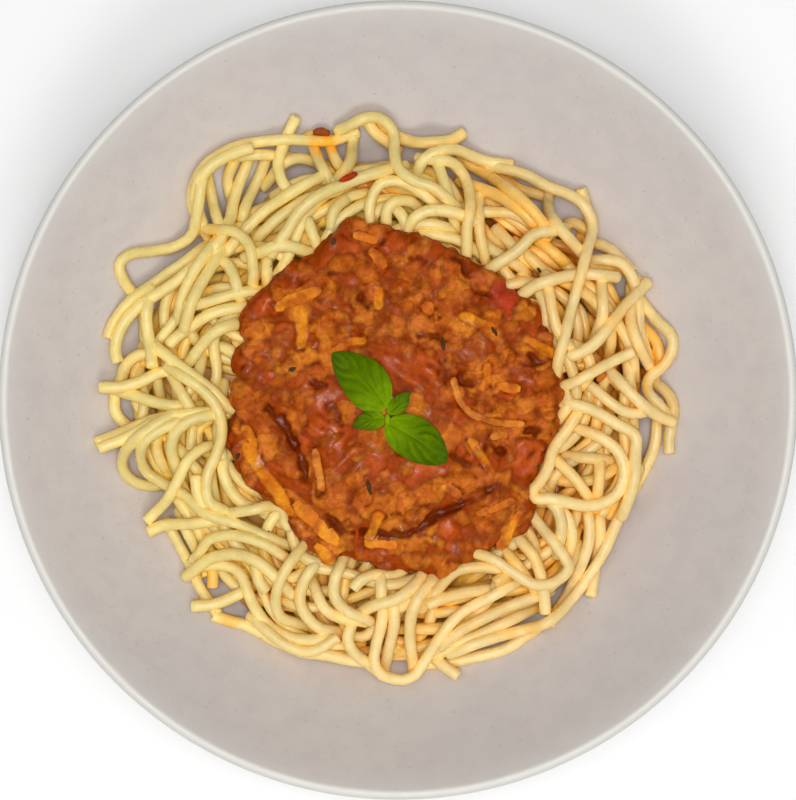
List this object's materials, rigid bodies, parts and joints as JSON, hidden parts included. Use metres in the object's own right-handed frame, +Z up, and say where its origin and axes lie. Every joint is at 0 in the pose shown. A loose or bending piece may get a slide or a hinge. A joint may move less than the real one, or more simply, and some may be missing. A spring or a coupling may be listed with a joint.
{
  "type": "bowl of spaghetti bolognese",
  "caption": "Wide round coupe bowl holding a nest of cooked spaghetti under a mound of minced meat and tomato sauce, topped with a small sprig of basil.",
  "frame": {"origin": "middle of the bowl's footprint, on the surface it stands on", "axes": "+Z up through the bowl, +X to the right and +Y away as the dish is seen from above with the big basil leaf pointing up and left"},
  "size_m": [0.21, 0.21, 0.05],
  "materials": {
    "glaze": "satin grey-beige glaze",
    "pasta": "moist, slightly glossy cooked pasta",
    "sauce": "oily red-brown meat sauce",
    "basil": "fresh leaf with a soft sheen"
  },
  "bodies": {
    "root": {"bowl": "glaze", "spaghetti": "pasta", "sauce": "sauce", "basil_sprig": "basil"}
  },
  "joints": []
}
